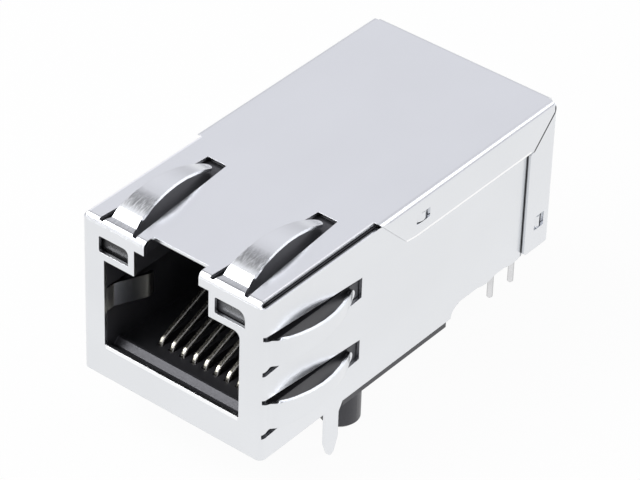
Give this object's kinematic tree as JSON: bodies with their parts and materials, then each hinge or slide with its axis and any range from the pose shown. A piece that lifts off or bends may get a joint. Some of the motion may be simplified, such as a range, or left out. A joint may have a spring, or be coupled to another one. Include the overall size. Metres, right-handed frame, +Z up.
{
  "type": "rj45 board jack",
  "caption": "Shielded board-mount modular jack with a tab-up plug port, indicator windows, bowed ground fingers and built-in magnetics.",
  "frame": {"origin": "on the board's top surface, midway between the two locating pegs", "axes": "+Z up from the board, the plug port faces -Y, +X to the right as seen from the port"},
  "size_m": [0.0186, 0.0326, 0.0188],
  "materials": {
    "shield_tin": "satin tin plate on folded sheet",
    "housing_plastic": "moulded black thermoplastic",
    "insert_plastic": "moulded black thermoplastic",
    "case_plastic": "moulded black thermoplastic",
    "board_laminate": "green lacquered laminate",
    "lamp_lens": "smoky clear epoxy, unlit",
    "contact_gold": "gold flash on spring bronze",
    "pin_tin": "tinned copper",
    "ferrite": "sintered ferrite",
    "copper_wire": "enamelled copper wire",
    "resistor_body": "glazed film",
    "capacitor_body": "ceramic block"
  },
  "bodies": {
    "root": {"shield": "shield_tin", "front_housing": "housing_plastic", "contact_insert": "insert_plastic", "magnetics_case": "case_plastic", "circuit_board": "board_laminate", "led_left": "lamp_lens", "led_right": "lamp_lens", "led_left_leads": "pin_tin", "led_right_leads": "pin_tin", "contact_1": "contact_gold", "contact_2": "contact_gold", "contact_3": "contact_gold", "contact_4": "contact_gold", "contact_5": "contact_gold", "contact_6": "contact_gold", "contact_7": "contact_gold", "contact_8": "contact_gold", "led_pin_1": "pin_tin", "led_pin_2": "pin_tin", "led_pin_3": "pin_tin", "led_pin_4": "pin_tin", "signal_pin_1": "pin_tin", "signal_pin_2": "pin_tin", "signal_pin_3": "pin_tin", "signal_pin_4": "pin_tin", "signal_pin_5": "pin_tin", "signal_pin_6": "pin_tin", "signal_pin_7": "pin_tin", "signal_pin_8": "pin_tin", "signal_pin_9": "pin_tin", "signal_pin_10": "pin_tin", "signal_pin_11": "pin_tin", "signal_pin_12": "pin_tin", "transformer_core_1": "ferrite", "transformer_core_2": "ferrite", "transformer_core_3": "ferrite", "transformer_core_4": "ferrite", "transformer_winding_1": "copper_wire", "transformer_winding_2": "copper_wire", "transformer_winding_3": "copper_wire", "transformer_winding_4": "copper_wire", "choke_core_1": "ferrite", "choke_core_2": "ferrite", "choke_core_3": "ferrite", "choke_core_4": "ferrite", "choke_winding_1": "copper_wire", "choke_winding_2": "copper_wire", "choke_winding_3": "copper_wire", "choke_winding_4": "copper_wire", "resistor_1": "resistor_body", "resistor_2": "resistor_body", "resistor_3": "resistor_body", "resistor_4": "resistor_body", "capacitor": "capacitor_body"}
  },
  "joints": []
}
